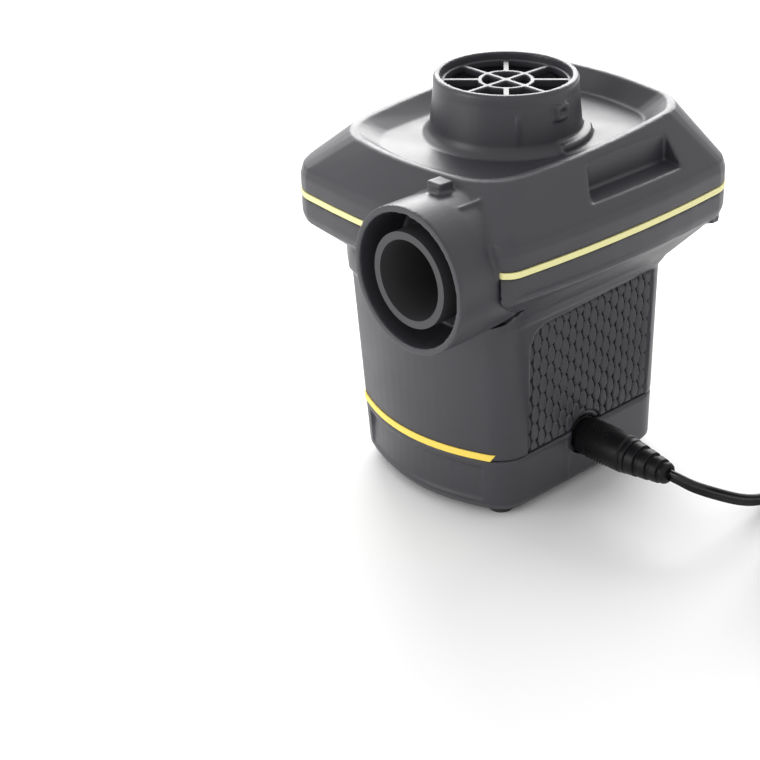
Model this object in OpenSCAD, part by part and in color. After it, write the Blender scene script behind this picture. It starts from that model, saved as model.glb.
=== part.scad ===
// Electric air mattress pump: a drum of housing with a wide head, an inlet collar on top,
// an outlet barrel at the front and a low-voltage lead plugged into its right side.
// Millimetres. +Z is up, -Y is the front with the outlet, +X is the side with the lead.
// The origin is on the ground under the inlet and motor axis.

/* [Body] */
// Height from the ground to the top of the inlet collar
total_h = 134.5; // [132.5:0.5:137]
// Wall thickness of the moulded shells
wall = 2.2; // [1.8:0.1:2.4]
// Half width of the column at the base seam
column_x = 35.4; // [35:0.1:36]
// Distance from the motor axis to the back of the column
column_back = 39.2; // [38.5:0.1:40]
// Height of the seam between the base cover and the column
base_seam = 21.7; // [21.2:0.1:22.2]

/* [Head] */
// Half width of the head where its side starts to bow out
head_x = 50.4; // [49.8:0.1:51]
// Half depth of the head where its front starts to bow out
head_y = 54; // [53.4:0.1:54.6]
// Corner radius of the head
head_r = 14; // [13:0.5:16]
// Height of the seam between the two head shells
head_seam = 95.5; // [95.2:0.1:95.8]
// Height of the tray floor round the inlet collar
tray_floor = 115; // [114.6:0.1:115.4]
// Backward rise of the tray rim
rim_tilt = 3.1; // [2:0.1:4]

/* [Inlet and outlet] */
// Outer radius of the inlet collar and of the outlet barrel
nozzle_r = 23; // [22.6:0.1:23.2]
// Inner radius of the inlet collar and of the outlet barrel
nozzle_bore_r = 20.8; // [20.4:0.1:21]
// Sideways place of the outlet axis
outlet_x = 24.5; // [24:0.1:25]
// Height of the outlet axis
outlet_z = 92.3; // [92:0.1:92.6]
// Distance from the motor axis to the outlet's front face
outlet_face = 65.5; // [63:0.5:68]
// Bore radius of the air duct inside the outlet barrel
duct_bore_r = 12.5; // [12:0.1:12.8]

/* [Blower] */
// Outer radius of the impeller
impeller_r = 33; // [30:0.5:33.5]
// Number of impeller blades
blades = 9; // [7:1:12]
// Radius of the motor shaft
shaft_r = 1.6; // [1.5:0.05:1.7]
// Outer radius of the motor can
motor_r = 17.9; // [17.5:0.1:18]

/* [Power lead] */
// Sideways place of the power socket along the right side
socket_y = 1.5; // [0:0.5:3]
// Height of the power socket
socket_z = 18.3; // [18:0.1:18.6]
// Radius of the plug's moulded grip
plug_r = 6.35; // [6.1:0.05:6.4]
// Width of the flat power cord
cord_d = 4; // [3.6:0.1:4]

/* [Hidden] */
$fn = 72;
thin = 0.02;

// Head and tray
head_c = [1, 2.5];
head_bow = 2.1;
head_rf = 7;
band_low = 89.6;
band_top = 102.4;
rim_c = [0.5, 2.9];
rim_x = 36.8;
rim_y = 46;
rim_r = 17;
rim_bow = 1.8;
rim_z = 119.9;
floor_x = 27.5;
floor_y = 41;
floor_r = 15;
under_tray = tray_floor - wall;

// Column: its sides draw in a little towards the ground and its front leans back
column_top = 74;
side_draft = 0.03;
front_draft = 0.056;
front_start = -26.4;
front_r = 12;
front_bow = 6.2;
back_r = 9;
ground_gap = 2;

// Outlet
barrel_back = -36;
barrel_straight = -54;
annulus_wall_y = -48.5;
duct_wall = 2.4;
duct_r = duct_bore_r + duct_wall;
duct_front = outlet_face - 0.8;
duct_back = -34;

// Blower
shelf_z = 77.3;
fan_floor = shelf_z + wall;
fan_top = 106;
fan_r = 37.5;
fan_wall = 2;
eye_r = 17;
impeller_z = 82;
impeller_h = 19;
motor_low = 20.3;
shaft_low = 15.2;
shaft_high = 104.4;
boss_r = 6.5;
motor_screw_d = 25;

// Switch in the back of the column
switch_z = 55;

// Power lead
plug_start = 34.2;
socket_start = 21.5;
hole_r = plug_r + 0.3;
tip_r = 2.75;
lead_x = 71;
cord_r = cord_d / 2;
coil_c = [97, 80];
coil_in = 16.6;
coil_out = 28;
coil_h = 8.4;
coil_z = 0.7;

// Screw places
housing_pts = [[-43.5, -40], [-43.5, 47], [45.5, 47]];
base_pts = [for (x = [-26, 26], y = [-28.5, 28.5]) [x, y]];
cover_pts = [for (a = [35, 125, 215]) 39.6 * [cos(a), sin(a)]];

shell_grey = [0.24, 0.24, 0.26];
dark = [0.13, 0.13, 0.14];
yellow = [0.93, 0.84, 0.42];

// One side of an outline: n points from p towards q, pushed out along nrm by an even bow
function side(p, q, nrm, bow, n) =
  [for (k = [0:n - 1]) p + (q - p) * k / n + nrm * (bow * 4 * (k / n) * (1 - k / n))];

// One round corner of an outline
function corner(c, r, a0, a1, n) =
  [for (k = [0:n - 1]) let (a = a0 + (a1 - a0) * k / n) c + r * [cos(a), sin(a)]];

// Rectangle with bowed sides and round corners, half sizes wx and wy; rf is its front right radius
function bow_rect(wx, wy, r, bow, rf, n = 7) = concat(
  side([wx, rf - wy], [wx, wy - r], [1, 0], bow, n),
  corner([wx - r, wy - r], r, 0, 90, n),
  side([wx - r, wy], [r - wx, wy], [0, 1], bow, n),
  corner([r - wx, wy - r], r, 90, 180, n),
  side([-wx, wy - r], [-wx, r - wy], [-1, 0], bow, n),
  corner([r - wx, r - wy], r, 180, 270, n),
  side([r - wx, -wy], [wx - rf, -wy], [0, -1], bow, n),
  corner([wx - rf, rf - wy], rf, 270, 360, n));

// Column outline at height z, drawn in by t: flat sides and back, and a bulging front
function column_pts(z, t = 0, n = 7) =
  let (kx = column_x + side_draft * (z - base_seam), ys = front_start - front_draft * (z - base_seam),
       cx = kx - front_r, r = front_r - t, x0 = cx + r * cos(70), y0 = ys - r * sin(70),
       bx = kx - back_r, by = column_back - back_r, rb = back_r - t)
  concat(
    corner([bx, by], rb, 0, 90, n),
    corner([-bx, by], rb, 90, 180, n),
    [[-kx + t, by]],
    corner([-cx, ys], r, 180, 250, n),
    [for (k = [0:2 * n]) let (u = k / n - 1) [x0 * u, y0 - front_bow * (1 - u * u)]],
    [for (k = [1:n]) let (a = -70 + 70 * k / n) [cx + r * cos(a), ys + r * sin(a)]]);

// Swept round tube through a list of points, with flat ends
function unit(v) = v / norm(v);
function along(p, i) =
  i == 0 ? unit(p[1] - p[0]) : i == len(p) - 1 ? unit(p[i] - p[i - 1]) : unit(p[i + 1] - p[i - 1]);
function ring_at(p, i, r, n) =
  let (t = along(p, i), a = unit(cross(t, abs(t[2]) > 0.9 ? [1, 0, 0] : [0, 0, 1])), b = cross(a, t))
  [for (k = [0:n - 1]) p[i] + r * (cos(360 * k / n) * a + sin(360 * k / n) * b)];
module tube(p, r, n = 8) {
  m = len(p);
  pts = [for (i = [0:m - 1]) each ring_at(p, i, r, n)];
  walls = [for (i = [0:m - 2], k = [0:n - 1]) let (a = i * n + k, b = i * n + (k + 1) % n)
    each [[a, b, b + n], [a, b + n, a + n]]];
  ends = [[for (k = [0:n - 1]) n - 1 - k], [for (k = [0:n - 1]) (m - 1) * n + k]];
  polyhedron(points = pts, faces = concat(walls, ends), convexity = 6);
}

module slab(pts, z, c = [0, 0]) { translate([c[0], c[1], z]) linear_extrude(thin) polygon(pts); }
module prism(pts, z0, z1, c = [0, 0]) {
  translate([c[0], c[1], z0]) linear_extrude(z1 - z0) polygon(pts);
}
// Outline of the head drawn in by t; its front right corner is tight beside the barrel
function head_pts(t) =
  bow_rect(head_x - t, head_y - t, head_r - min(t, 6), head_bow, max(2, head_rf - t));
module head_slab(z, t) { slab(head_pts(t), z, head_c); }
module head_prism(z0, z1, t) { prism(head_pts(t), z0, z1, head_c); }
// Tilted slab of the tray rim, drawn in by t and lifted by dz
module rim_slab(t, dz) {
  translate([rim_c[0], rim_c[1], rim_z + dz]) rotate([rim_tilt, 0, 0])
    linear_extrude(thin) polygon(bow_rect(rim_x - t, rim_y - t, rim_r - t, rim_bow, rim_r - t));
}
module floor_slab(t, z) { slab(bow_rect(floor_x - t, floor_y - t, floor_r - t, 1.5, floor_r - t), z, rim_c); }
// Cylinder along the outlet axis, from the front at y0 to the back at y1
module outlet_cyl(r, y0, y1) {
  translate([outlet_x, y1, outlet_z]) rotate([90, 0, 0]) cylinder(r = r, h = y1 - y0);
}
// Cylinder along X through the power socket axis
module lead_cyl(r, x0, x1) { translate([x0, socket_y, socket_z]) rotate([0, 90, 0]) cylinder(r = r, h = x1 - x0); }
module at(pts) { for (p = pts) translate([p[0], p[1], 0]) children(); }

// ---- Shells ----

// Space of a finger scoop in one side of the head, drawn larger by g
module scoop(side, g) {
  pts = [[40 - g, -7 - g], [49, -14.5 - g], [64, -19 - g], [64, 27 + g], [40 - g, 29 + g]];
  translate([head_c[0], 0, 0]) scale([side, 1, 1])
    translate([0, 0, 108.4 - g]) linear_extrude(20) polygon(pts);
}

module collar() {
  lip = 1;
  rotate_extrude() polygon([[nozzle_bore_r - 1, under_tray], [25.2, under_tray], [26.6, tray_floor + 0.01],
    [24.9, tray_floor + 1.6], [24.2, tray_floor + 3.4], [nozzle_r, total_h - 3.9],
    [nozzle_r, total_h - lip], [nozzle_r - lip / 2, total_h], [nozzle_bore_r - 1, total_h]]);
}

// Bayonet lugs, ramp and guide ribs outside the collar
module collar_details() {
  rotate([0, 0, -4]) rotate_extrude(angle = 54)
    polygon([[22, tray_floor - 1], [27.4, tray_floor - 1], [27.4, tray_floor + 1.6],
             [26.8, tray_floor + 2.6], [22, tray_floor + 3.4]]);
  for (a = [0, 180]) rotate([0, 0, a]) {
    difference() {
      translate([nozzle_r - 1.5, -2.6, 125]) cube([3.4, 5.2, 5]);
      translate([nozzle_r + 0.9, -1.3, 126.3]) cube([2, 2.6, 2.4]);
    }
    rotate([0, 0, -36]) translate([nozzle_r - 1, -0.7, tray_floor]) cube([2.2, 1.4, 13]);
  }
}

module upper_outer() {
  head_prism(head_seam, band_top, 0);
  hull() {
    head_slab(band_top - thin, 0);
    head_slab(105.4, 0.9);
    head_slab(107.4, 3);
    rim_slab(0, -thin);
  }
}
module upper_cavity() {
  difference() {
    union() {
      head_prism(head_seam - 1, band_top, wall);
      hull() {
        head_slab(band_top - thin, wall);
        rim_slab(wall, -2.6);
      }
    }
    hull() {
      floor_slab(-wall, under_tray);
      rim_slab(-1, 0);
    }
    scoop(1, 1.8);
    scoop(-1, 1.8);
    for (p = housing_pts) translate([p[0], p[1], head_seam - 2]) cylinder(r = 3.6, h = 16);
  }
}

module upper_housing() color(shell_grey) {
  difference() {
    union() {
      difference() {
        upper_outer();
        upper_cavity();
        hull() {
          floor_slab(0, tray_floor);
          rim_slab(1.6, 0.4);
        }
        scoop(1, 0);
        scoop(-1, 0);
        trim_groove(0);
      }
      collar();
      collar_details();
      outlet_cyl(nozzle_r, -outlet_face, barrel_straight);
      // Behind its straight wall the barrel is drafted
      translate([outlet_x, barrel_back, outlet_z]) rotate([90, 0, 0])
        cylinder(r1 = nozzle_r - 1, r2 = nozzle_r, h = barrel_back - barrel_straight);
      // Bayonet lug and guide rib on the barrel
      translate([18.4, -51.4, 111.5]) cube([5.6, 5.6, 6.6]);
      translate([outlet_x, 0, outlet_z]) rotate([0, -68, 0]) translate([nozzle_r - 1.2, -51.7, -0.5])
        cube([1.9, 10.5, 1]);
    }
    translate([0, 0, under_tray - 1]) cylinder(r = nozzle_bore_r, h = 40);
    outlet_cyl(nozzle_bore_r, -outlet_face - 1, annulus_wall_y);
    outlet_cyl(nozzle_bore_r, annulus_wall_y + 2.2, barrel_back + 1);
    outlet_cyl(duct_r + 0.05, -outlet_face - 1, barrel_back + 1);
    translate([0, 0, 80]) cylinder(r = fan_r + 0.3, h = 28.3);
    for (p = housing_pts) translate([p[0], p[1], head_seam - 1]) cylinder(r = 1.25, h = 9);
  }
  for (a = [-30, 90, 210]) translate([outlet_x, annulus_wall_y + 1, outlet_z]) rotate([0, -a, 0])
    translate([duct_r + 0.4, -8, -0.6]) cube([nozzle_bore_r - duct_r, 7.5, 1.2]);
}

// Groove of the head trim, or the trim itself when g is 0.1
module trim_groove(g) {
  z0 = head_seam + 0.2 + g / 2;
  z1 = head_seam + 2.2 - g / 2;
  difference() {
    head_prism(z0, z1, g > 0 ? -0.15 : -1);
    head_prism(z0 - 1, z1 + 1, 1.1 - g);
    // The trim stops at both sides of the outlet barrel
    translate([outlet_x - nozzle_r - 9.8 - g, -80, z0 - 1]) cube([70, 29.5 + g, 5]);
  }
}
module head_trim() color(yellow) {
  difference() {
    trim_groove(0.1);
    outlet_cyl(nozzle_r + 0.1, -90, barrel_back);
  }
}

// Outlines under the head; the front left corner keeps close to the column, drawn in by k
module corner_cut(z, k) {
  pts = [[k - 40.6, 70], [k - 40.6, -18], [0.8 * k - 34.7, 0.8 * k - 38.5], [0.4 * k - 24, k - 46.6],
         [0, -58], [70, -60], [70, 70]];
  prism(pts, z - 1, z + 1);
}
module cove_slab(z, t, k) {
  intersection() {
    head_slab(z, t);
    corner_cut(z, k);
  }
}
module neck_slab(t, k) {
  intersection() {
    slab(column_pts(column_top, t), column_top);
    corner_cut(column_top, k);
  }
}
module lower_outer() {
  head_prism(band_low, head_seam, 0);
  hull() {
    head_slab(band_low, 0);
    head_slab(87, 0.9);
    cove_slab(83.4, 4.6, 0);
  }
  hull() {
    cove_slab(83.4, 4.6, 0);
    neck_slab(-3.2, 0);
  }
  hull() {
    neck_slab(-3.2, 0);
    slab(column_pts(column_top - 5), column_top - 5);
  }
  hull() {
    slab(column_pts(column_top - 5), column_top - 5);
    slab(column_pts(base_seam), base_seam);
  }
}
module lower_cavity() {
  head_prism(88.6, head_seam + 1, wall);
  hull() {
    head_slab(88.6, wall);
    cove_slab(85, 5.9, 2.3);
  }
  hull() {
    cove_slab(85, 5.9, 2.3);
    neck_slab(-0.9, 2.3);
  }
  hull() {
    slab(column_pts(column_top, wall), column_top);
    slab(column_pts(base_seam, wall), base_seam - 1);
  }
}
// Recess of a grip panel in the side of the column
module grip_recess(side, deep) {
  pts = [[-25.5, base_seam - 1], [31, base_seam - 1], [31, 68.8], [-19.5, 66.6],
         [-23.4, 65], [-25.5, 61]];
  scale([side, 1, 1]) multmatrix([[1, 0, side_draft, 0], [0, 1, 0, 0], [0, 0, 1, 0]])
    translate([column_x - side_draft * base_seam - deep, 0, 0]) rotate([90, 0, 90])
      linear_extrude(8) polygon(pts);
}
module lower_housing() color(shell_grey) {
  difference() {
    union() {
      difference() {
        lower_outer();
        lower_cavity();
      }
      // Shelf under the fan housing and web round the motor
      difference() {
        translate([0, 0, shelf_z - wall]) cylinder(r = 39.2, h = wall);
        translate([0, 0, shelf_z - wall - 1]) cylinder(r = 26, h = wall + 2);
      }
      difference() {
        prism(column_pts(42, 1), 40, 42);
        translate([0, 0, 39]) cylinder(r = 20.4, h = 4);
        translate([-14, 23.5, 39]) cube([28, 8, 4]);
      }
      for (p = housing_pts) let (z = p[0] < 0 ? 86.8 : 84)
        translate([p[0], p[1], z]) cylinder(r = 3.6, h = head_seam - z);
      intersection() {
        for (p = base_pts) translate([p[0], p[1], base_seam]) cylinder(r = 4, h = 19);
        prism(column_pts(30, 1), base_seam, 60);
      }
    }
    grip_recess(1, 1.3);
    grip_recess(-1, 1.3);
    outlet_cyl(nozzle_r + 0.15, -90, barrel_back + 0.3);
    outlet_cyl(duct_r + 0.3, barrel_back - 1, -20);
    lead_cyl(hole_r, 20, 60);
    translate([0, 0, shelf_z]) cylinder(r = fan_r + 0.4, h = 30);
    for (p = housing_pts) {
      translate([p[0], p[1], 70]) cylinder(r = 1.7, h = 40);
      translate([p[0], p[1], 70]) cylinder(r = 3.1, h = 20.5);
    }
    for (p = base_pts) translate([p[0], p[1], base_seam - 1]) cylinder(r = 1.25, h = 12);
    translate([-8.2, column_back - 6, switch_z - 10.8]) cube([16.4, 12, 21.6]);
  }
}

module base_cover() color(shell_grey) {
  difference() {
    union() {
      difference() {
        union() {
          hull() {
            slab(column_pts(base_seam), base_seam - thin);
            slab(column_pts(5), 5);
          }
          hull() {
            slab(column_pts(5), 5);
            slab(column_pts(5, 2.4), ground_gap);
          }
        }
        hull() {
          slab(column_pts(base_seam, wall), base_seam);
          slab(column_pts(5, wall), ground_gap + wall);
        }
        // Shallow panel on the front
        difference() {
          translate([-26.5, -60, 6.2]) cube([53, 30, 12.6]);
          prism(column_pts(14, 1), 0, 40);
        }
        // Shadow line under the seam
        difference() {
          translate([-60, -60, base_seam - 0.6]) cube([120, 120, 2]);
          prism(column_pts(base_seam, 0.7), 0, 40);
        }
      }
      intersection() {
        for (p = base_pts) translate([p[0], p[1], ground_gap + 1]) cylinder(r = 4, h = base_seam - ground_gap - 1);
        prism(column_pts(12, 1), 0, base_seam);
      }
      // Cradle of the power socket
      translate([socket_start + 1, socket_y - 8.6, ground_gap + 1]) cube([10, 2, 16]);
      translate([socket_start + 1, socket_y + 6.6, ground_gap + 1]) cube([10, 2, 16]);
      // Guide rib beside the socket
      translate([column_x - 1.2, socket_y - 9.2, 5.5]) cube([1.4, 1.2, 15]);
    }
    lead_cyl(hole_r, 20, 60);
    for (p = base_pts) {
      translate([p[0], p[1], 0]) cylinder(r = 1.7, h = 40);
      translate([p[0], p[1], 0]) cylinder(r = 3.1, h = 11);
    }
  }
}

module base_trim() color(yellow) {
  z0 = base_seam + 0.2;
  z1 = base_seam + 2.5;
  difference() {
    prism(column_pts(base_seam + 1.2, -0.45), z0, z1);
    prism(column_pts(base_seam + 1.2, -0.1), z0 - 1, z1 + 1);
    translate([-60, -26.4, z0 - 1]) cube([120, 90, 5]);
    for (s = [-1, 1]) scale([s, 1, 1]) translate([29.2, -60, z0 - 1]) rotate([0, 30, 0])
      translate([0, 0, -12]) cube([20, 60, 30]);
  }
}

// ---- Grip panels ----

module grip_panel(side) {
  inset = 0.3;
  pts = [[-25.5 + inset, base_seam + 0.3], [31 - inset, base_seam + 0.3], [31 - inset, 68.8 - inset],
         [-19.5, 66.6 - inset], [-23.2, 64.6], [-25.5 + inset, 61]];
  scale([side, 1, 1]) difference() {
    multmatrix([[1, 0, side_draft, 0], [0, 1, 0, 0], [0, 0, 1, 0]])
      translate([column_x - side_draft * base_seam - 1.3, 0, 0]) rotate([90, 0, 90])
        linear_extrude(1.1) polygon(pts);
    if (side > 0) lead_cyl(hole_r + 1.6, 20, 60);
  }
}
module grip_panel_right() { color(dark) grip_panel(1); }
module grip_panel_left() { color(dark) grip_panel(-1); }

// ---- Air path ----

module inlet_grille() color(dark) {
  z = total_h - 4.6;
  difference() {
    translate([0, 0, z]) cylinder(r = nozzle_bore_r, h = 2.4);
    translate([0, 0, z - 1]) cylinder(r = nozzle_bore_r - 1.4, h = 5);
  }
  difference() {
    translate([0, 0, z]) cylinder(r = 9, h = 2.4);
    translate([0, 0, z - 1]) cylinder(r = 7.6, h = 5);
  }
  translate([0, 0, z]) cylinder(r = 1.4, h = 2.4);
  for (a = [0:90:270]) rotate([0, 0, a]) translate([0.8, -0.85, z]) cube([7.2, 1.7, 2.4]);
  for (a = [0:45:315]) rotate([0, 0, a]) translate([8.4, -0.85, z]) cube([11.4, 1.7, 2.4]);
}

module fan_housing() color([0.3, 0.3, 0.32]) {
  difference() {
    union() {
      translate([0, 0, shelf_z]) cylinder(r = fan_r, h = fan_top - shelf_z);
      outlet_cyl(duct_r, -duct_front, -14);
      for (p = cover_pts) translate([p[0], p[1], fan_top - 10]) cylinder(r = 3.4, h = 10);
    }
    difference() {
      translate([0, 0, fan_floor]) cylinder(r = fan_r - fan_wall, h = 40);
      // Volute tongue that steers the air into the duct
      translate([duct_bore_r - 5, -36, fan_floor - 1]) rotate([0, 0, 12]) cube([1.6, 2.4, 40]);
    }
    outlet_cyl(duct_bore_r, -outlet_face, duct_back);
    outlet_cyl(duct_bore_r + 0.2, duct_back - 0.01, -16);
    translate([0, 0, shelf_z - 1]) cylinder(r = boss_r + 0.1, h = 10);
    for (s = [-1, 1]) translate([s * motor_screw_d / 2, 0, shelf_z - 1]) cylinder(r = 1.6, h = 10);
    for (p = cover_pts) translate([p[0], p[1], fan_top - 9]) cylinder(r = 1.25, h = 10);
    translate([0, 0, fan_top]) cylinder(r = fan_r + 0.4, h = 20);
  }
}

module fan_cover() color([0.3, 0.3, 0.32]) {
  difference() {
    union() {
      translate([0, 0, fan_top]) cylinder(r = fan_r, h = 2);
      for (p = cover_pts) translate([p[0], p[1], fan_top]) cylinder(r = 3.4, h = 2);
    }
    translate([0, 0, fan_top - 1]) cylinder(r = eye_r, h = 5);
    for (p = cover_pts) translate([p[0], p[1], fan_top - 1]) cylinder(r = 1.6, h = 5);
  }
  rotate_extrude() polygon([[eye_r, fan_top + 1], [eye_r + 3.6, fan_top + 1], [eye_r + 5.2, 110.6],
    [eye_r + 3.2, 110.6], [eye_r + 0.6, fan_top + 3]]);
}
module inlet_seal() color([0.2, 0.2, 0.2]) {
  translate([0, 0, 110.6]) difference() {
    cylinder(r = eye_r + 5.4, h = under_tray - 110.6);
    translate([0, 0, -1]) cylinder(r = eye_r + 3.8, h = 6);
  }
}

module blade() {
  n = 8;
  r0 = 13;
  r1 = impeller_r - 0.6;
  sweep = 48;
  t = 0.6;
  line = [for (k = [0:n]) let (u = k / n, r = r0 + (r1 - r0) * u, a = -sweep * u * u) r * [cos(a), sin(a)]];
  polygon(concat([for (p = line) p + t * [-p[1], p[0]] / norm(p)],
    [for (k = [n:-1:0]) line[k] - t * [-line[k][1], line[k][0]] / norm(line[k])]));
}
module impeller() color([0.12, 0.12, 0.13]) {
  difference() {
    union() {
      translate([0, 0, impeller_z]) cylinder(r = impeller_r, h = 1.6);
      translate([0, 0, impeller_z]) cylinder(r1 = 12, r2 = 5, h = 9);
      translate([0, 0, impeller_z]) cylinder(r = 5, h = impeller_h);
      for (k = [0:blades - 1]) rotate([0, 0, 360 * k / blades])
        translate([0, 0, impeller_z + 1]) linear_extrude(impeller_h - 1.8) blade();
      difference() {
        translate([0, 0, impeller_z + impeller_h - 1.6]) cylinder(r = impeller_r, h = 1.6);
        translate([0, 0, impeller_z]) cylinder(r = 18.5, h = 30);
      }
    }
    translate([0, 0, impeller_z - 1]) cylinder(r = shaft_r, h = 40);
  }
}
module impeller_nut() color("silver") {
  z = impeller_z + impeller_h;
  difference() {
    union() {
      translate([0, 0, z]) cylinder(r = 4, h = 0.6);
      translate([0, 0, z + 0.6]) cylinder(r = 3.4, h = 2.2, $fn = 6);
    }
    translate([0, 0, z - 1]) cylinder(r = shaft_r, h = 9);
  }
}

// ---- Motor ----

module motor_shaft() color("silver") {
  translate([0, 0, shaft_low]) cylinder(r = shaft_r, h = shaft_high - shaft_low);
}
module armature_core() color([0.55, 0.56, 0.58]) {
  translate([0, 0, 36]) linear_extrude(27) difference() {
    circle(r = 13.2);
    circle(r = shaft_r);
    // Slots for the windings, open to the air gap
    for (k = [0:4]) rotate(72 * k + 36) {
      translate([5, -0.9]) square([10, 1.8]);
      polygon([[5.4, -1.2], [10.8, -4.6], [10.8, 4.6], [5.4, 1.2]]);
    }
  }
}
module armature_windings() color([0.72, 0.36, 0.16]) {
  for (z = [33.2, 63]) difference() {
    translate([0, 0, z]) cylinder(r = 11.5, h = 2.8);
    translate([0, 0, z - 1]) cylinder(r = 4, h = 6);
  }
  for (k = [0:4]) rotate([0, 0, 72 * k + 36]) translate([6.4, -1.5, 36]) cube([3.6, 3, 27]);
}
module commutator() color([0.75, 0.42, 0.2]) {
  difference() {
    translate([0, 0, 24.4]) cylinder(r = 3.9, h = 8.8);
    translate([0, 0, 20]) cylinder(r = shaft_r, h = 20);
    for (k = [0:4]) rotate([0, 0, 72 * k]) translate([2.6, -0.2, 24]) cube([3, 0.4, 7]);
  }
}
module motor_can() color([0.62, 0.63, 0.65]) {
  difference() {
    union() {
      translate([0, 0, motor_low]) cylinder(r = motor_r, h = shelf_z - motor_low);
      translate([0, 0, shelf_z]) cylinder(r = boss_r, h = 2.8);
    }
    translate([0, 0, motor_low - 1]) cylinder(r = motor_r - 1.3, h = shelf_z - motor_low - 1);
    translate([0, 0, motor_low]) cylinder(r = 4.6, h = 80);
    for (s = [-1, 1]) translate([s * motor_screw_d / 2, 0, shelf_z - 4]) cylinder(r = 1.25, h = 10);
  }
}
module motor_magnets() color([0.25, 0.25, 0.27]) {
  for (s = [0, 180]) rotate([0, 0, s]) intersection() {
    difference() {
      translate([0, 0, 34]) cylinder(r = motor_r - 1.3, h = 31);
      translate([0, 0, 33]) cylinder(r = 13.8, h = 33);
    }
    translate([0, 0, 33]) linear_extrude(33) polygon([[0, 0], [30, -26], [30, 26]]);
  }
}
module motor_end_cap() color([0.9, 0.9, 0.86]) {
  difference() {
    union() {
      translate([0, 0, motor_low - 2.4]) cylinder(r = motor_r, h = 2.4);
      translate([0, 0, motor_low]) cylinder(r = motor_r - 1.4, h = 3);
      translate([0, 0, motor_low - 4.2]) cylinder(r = 5.6, h = 3);
    }
    translate([0, 0, motor_low - 6]) cylinder(r = 3.4, h = 20);
    for (s = [-1, 1]) translate([s * 10 - 0.4, -3, motor_low - 6]) cube([0.8, 6, 20]);
  }
}
module motor_bushes() color([0.7, 0.55, 0.3]) {
  for (z = [motor_low - 3.6, shelf_z - 1.4]) difference() {
    translate([0, 0, z]) cylinder(r = z > 50 ? 4.6 : 3.4, h = 4);
    translate([0, 0, z - 1]) cylinder(r = shaft_r + 0.04, h = 8);
  }
}
module carbon_brushes() color([0.16, 0.16, 0.17]) {
  for (s = [0, 180]) rotate([0, 0, s]) difference() {
    translate([4.05, -1.6, 25.2]) cube([5.4, 3.2, 4]);
    translate([0, 0, 24]) cylinder(r = 4, h = 8);
  }
}
module motor_terminals() color([0.8, 0.66, 0.34]) {
  for (s = [-1, 1]) {
    translate([s * 10 - 0.35, -2.6, motor_low - 8]) cube([0.7, 5.2, 12]);
  }
}
module motor_damper() color([0.08, 0.08, 0.08]) {
  difference() {
    translate([0, 0, 38.6]) cylinder(r = 20.35, h = 4.8);
    translate([0, 0, 38]) cylinder(r = motor_r, h = 6);
    difference() {
      translate([0, 0, 39.9]) cylinder(r = 22, h = 2.2);
      translate([0, 0, 39]) cylinder(r = 20.35, h = 4);
    }
  }
}
module suppressor() color([0.85, 0.55, 0.15]) {
  translate([0, 1, 11]) rotate([90, 0, 0]) cylinder(r = 3.2, h = 2);
  for (s = [-1, 1]) translate([s * 2.4, 0, 12.7]) rotate([0, s * 90, 0]) cylinder(r = 0.35, h = 7.25);
}

// ---- Fasteners and feet ----

// Round-head screw with its head's seat at z = 0, pointing up
module screw(len, head_r, shank_r) {
  difference() {
    union() {
      translate([0, 0, -1.8]) cylinder(r = head_r, h = 1.8);
      cylinder(r = shank_r, h = len);
    }
    translate([-0.4, -1.6, -2]) cube([0.8, 3.2, 1.2]);
    translate([-1.6, -0.4, -2]) cube([3.2, 0.8, 1.2]);
  }
}
module motor_screws() color("silver") {
  for (s = [-1, 1]) translate([s * motor_screw_d / 2, 0, fan_floor]) rotate([180, 0, 0])
    screw(5, 2.6, 1.25);
}
module fan_cover_screws() color("silver") {
  for (p = cover_pts) translate([p[0], p[1], fan_top + 2]) rotate([180, 0, 0]) screw(9.5, 2.6, 1.25);
}
module housing_screws() color("silver") { at(housing_pts) translate([0, 0, 90.5]) screw(12.4, 2.9, 1.25); }
module base_screws() color("silver") { at(base_pts) translate([0, 0, 11]) screw(20, 2.9, 1.25); }
module rubber_feet() color([0.06, 0.06, 0.06]) {
  // Each foot plugs the hole of a base screw
  at(base_pts) {
    cylinder(r1 = 3.8, r2 = 4.2, h = 0.4);
    translate([0, 0, 0.4]) cylinder(r = 4.2, h = ground_gap - 0.4);
    translate([0, 0, ground_gap - 0.1]) cylinder(r = 3.1, h = 3.6);
  }
}

// ---- Switch ----

module switch_body() color(dark) {
  y1 = column_back;
  difference() {
    union() {
      translate([-8, y1 - 13, switch_z - 10.6]) cube([16, 13.2, 21.2]);
      translate([-10, y1 + 0.05, switch_z - 12.6]) cube([20, 1.5, 25.2]);
    }
    translate([-6.3, y1 - 6, switch_z - 8]) cube([12.6, 10, 16]);
    translate([-9, y1 - 2.6, switch_z]) rotate([0, 90, 0]) cylinder(r = 1.05, h = 18);
  }
}
// The rocker stands tilted at rest, in its off position
module switch_rocker() color([0.55, 0.06, 0.05]) {
  y1 = column_back;
  translate([0, y1 - 2.6, switch_z]) rotate([-9, 0, 0]) {
    difference() {
      translate([-6, -1.8, -7.4]) cube([12, 6.4, 14.8]);
      for (s = [-1, 1]) translate([-7, 10.6, s * 8.2]) rotate([0, 90, 0]) cylinder(r = 8.3, h = 14);
    }
    translate([-7.9, 0, 0]) rotate([0, 90, 0]) cylinder(r = 1, h = 15.8);
  }
}
module switch_terminals() color([0.8, 0.66, 0.34]) {
  for (z = [-6, 6]) translate([-3, column_back - 19, switch_z + z - 0.4]) cube([6, 6, 0.8]);
}

// ---- Power socket, plug and wires ----

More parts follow.
